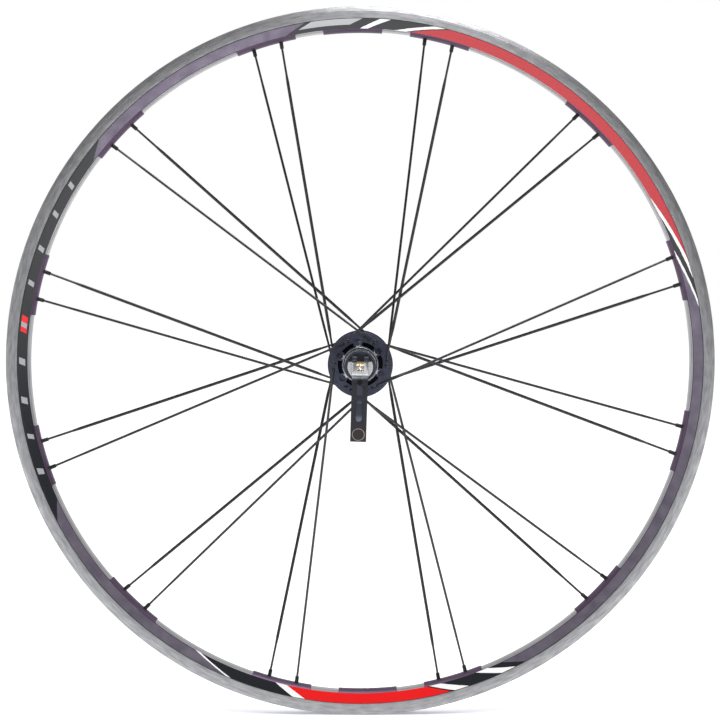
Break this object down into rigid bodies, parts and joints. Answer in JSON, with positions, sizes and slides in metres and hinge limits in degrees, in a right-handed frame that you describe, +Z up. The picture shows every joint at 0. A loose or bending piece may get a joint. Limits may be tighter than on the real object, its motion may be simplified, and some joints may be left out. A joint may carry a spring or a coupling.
{
  "type": "bicycle rear wheel with quick release skewer",
  "caption": "Rear road bicycle wheel with crossed paired spokes, a freehub and a quick release skewer lever, without tyre or sprockets.",
  "frame": {"origin": "centre of the wheel, on the axle's axis, in the rim's middle plane", "axes": "+Y along the axle towards the drive side, +Z up, so the quick release lever is on the -Y side and hangs along -Z"},
  "size_m": [0.6329, 0.18, 0.633],
  "materials": {
    "rim_aluminium": "machined brake tracks, purple-grey anodised walls",
    "tape": "smooth tape",
    "nipple_black": "black anodised",
    "spoke_black": "black oxide, slightly glossy",
    "hub_anodised": "dark slate anodised, satin",
    "axle_alloy": "turned",
    "cap_black": "black anodised",
    "ratchet_steel": "hardened and ground",
    "bearing_steel": "polished",
    "freehub_alloy": "grey anodised",
    "seal_rubber": "moulded",
    "spring_steel": "drawn wire",
    "rod_steel": "drawn and polished",
    "lever_black": "polished and anodised black, fading to silver at the head",
    "brass": "turned",
    "saddle_silver": "polished",
    "cup_black": "black anodised",
    "insert_nylon": "moulded"
  },
  "bodies": {
    "axle_set": {"axle": "axle_alloy", "left_end_cap": "cap_black", "right_end_cap": "cap_black", "left_bearing_inner_race": "bearing_steel", "right_bearing_inner_race": "bearing_steel", "freehub_bearing_inner_races": "bearing_steel", "freehub_spacer": "axle_alloy", "lever_cup": "cup_black", "lever_saddle": "saddle_silver", "left_volute_spring": "spring_steel"},
    "wheel": {"rim": "rim_aluminium", "rim_tape": "tape", "nipples_left": "nipple_black", "nipples_right": "nipple_black", "spoke_left_01": "spoke_black", "spoke_left_02": "spoke_black", "spoke_left_03": "spoke_black", "spoke_left_04": "spoke_black", "spoke_left_05": "spoke_black", "spoke_left_06": "spoke_black", "spoke_left_07": "spoke_black", "spoke_left_08": "spoke_black", "spoke_left_09": "spoke_black", "spoke_left_10": "spoke_black", "spoke_left_11": "spoke_black", "spoke_left_12": "spoke_black", "spoke_right_01": "spoke_black", "spoke_right_02": "spoke_black", "spoke_right_03": "spoke_black", "spoke_right_04": "spoke_black", "spoke_right_05": "spoke_black", "spoke_right_06": "spoke_black", "spoke_right_07": "spoke_black", "spoke_right_08": "spoke_black", "spoke_right_09": "spoke_black", "spoke_right_10": "spoke_black", "spoke_right_11": "spoke_black", "spoke_right_12": "spoke_black", "hub_shell": "hub_anodised", "left_bearing_outer_race": "bearing_steel", "right_bearing_outer_race": "bearing_steel", "ratchet_ring": "ratchet_steel", "freehub_dust_seal": "seal_rubber"},
    "left_ball_set": {"left_bearing_balls": "bearing_steel"},
    "right_ball_set": {"right_bearing_balls": "bearing_steel"},
    "freehub": {"freehub_body": "freehub_alloy", "freehub_bearing_outer_races": "bearing_steel", "freehub_race_spacer": "axle_alloy", "pawl_springs": "spring_steel"},
    "freehub_ball_sets": {"freehub_bearing_balls": "bearing_steel"},
    "pawl_a": {"pawl_1": "ratchet_steel"},
    "pawl_b": {"pawl_2": "ratchet_steel"},
    "pawl_c": {"pawl_3": "ratchet_steel"},
    "skewer": {"skewer_rod": "rod_steel", "lever_pivot_barrel": "brass"},
    "lever_arm": {"lever": "lever_black"},
    "nut_spring": {"right_volute_spring": "spring_steel"},
    "nut": {"adjusting_nut": "cup_black", "nut_face_ring": "rod_steel", "nut_locking_insert": "insert_nylon"}
  },
  "joints": [
    {"name": "wheel_spin", "type": "hinge", "parent": "axle_set", "child": "wheel", "pos_m": [0, 0, 0], "axis": [0, 1, 0], "continuous": true},
    {"name": "left_ball_spin", "type": "hinge", "parent": "axle_set", "child": "left_ball_set", "pos_m": [0, -0.0376, 0], "axis": [0, 1, 0], "continuous": true},
    {"name": "right_ball_spin", "type": "hinge", "parent": "axle_set", "child": "right_ball_set", "pos_m": [0, 0.0145, 0], "axis": [0, 1, 0], "continuous": true},
    {"name": "freehub_spin", "type": "hinge", "parent": "axle_set", "child": "freehub", "pos_m": [0, 0.045, 0], "axis": [0, 1, 0], "continuous": true},
    {"name": "freehub_ball_spin", "type": "hinge", "parent": "axle_set", "child": "freehub_ball_sets", "pos_m": [0, 0.045, 0], "axis": [0, 1, 0], "continuous": true},
    {"name": "pawl_a_pivot", "type": "hinge", "parent": "freehub", "child": "pawl_a", "pos_m": [0, 0.023, 0.0112], "axis": [0, 1, 0], "range_deg": [0, 7]},
    {"name": "pawl_b_pivot", "type": "hinge", "parent": "freehub", "child": "pawl_b", "pos_m": [-0.0097, 0.023, -0.0056], "axis": [0, 1, 0], "range_deg": [0, 7]},
    {"name": "pawl_c_pivot", "type": "hinge", "parent": "freehub", "child": "pawl_c", "pos_m": [0.0097, 0.023, -0.0056], "axis": [0, 1, 0], "range_deg": [0, 7]},
    {"name": "skewer_slide", "type": "slide", "parent": "axle_set", "child": "skewer", "axis": [0, 1, 0], "range_m": [0, 0.0021]},
    {"name": "lever_turn", "type": "hinge", "parent": "skewer", "child": "lever_arm", "pos_m": [0, -0.0875, 0], "axis": [-0.9996, 0, 0.0297], "range_deg": [0, 180]},
    {"name": "nut_travel", "type": "slide", "parent": "skewer", "child": "nut_spring", "axis": [0, 1, 0], "range_m": [0, 0.0025]},
    {"name": "nut_turn", "type": "hinge", "parent": "nut_spring", "child": "nut", "pos_m": [0, 0.078, 0], "axis": [0, 1, 0], "range_deg": [0, 1080]}
  ],
  "couplings": [
    {"joint": "left_ball_spin", "follows": "wheel_spin", "ratio": 0.59767},
    {"joint": "right_ball_spin", "follows": "wheel_spin", "ratio": 0.59767},
    {"joint": "freehub_ball_spin", "follows": "freehub_spin", "ratio": 0.57692},
    {"joint": "pawl_b_pivot", "follows": "pawl_a_pivot", "ratio": 1},
    {"joint": "pawl_c_pivot", "follows": "pawl_a_pivot", "ratio": 1},
    {"joint": "skewer_slide", "follows": "lever_turn", "m_per_rad": 0.00063662},
    {"joint": "nut_travel", "follows": "nut_turn", "m_per_rad": 0.00012732}
  ]
}
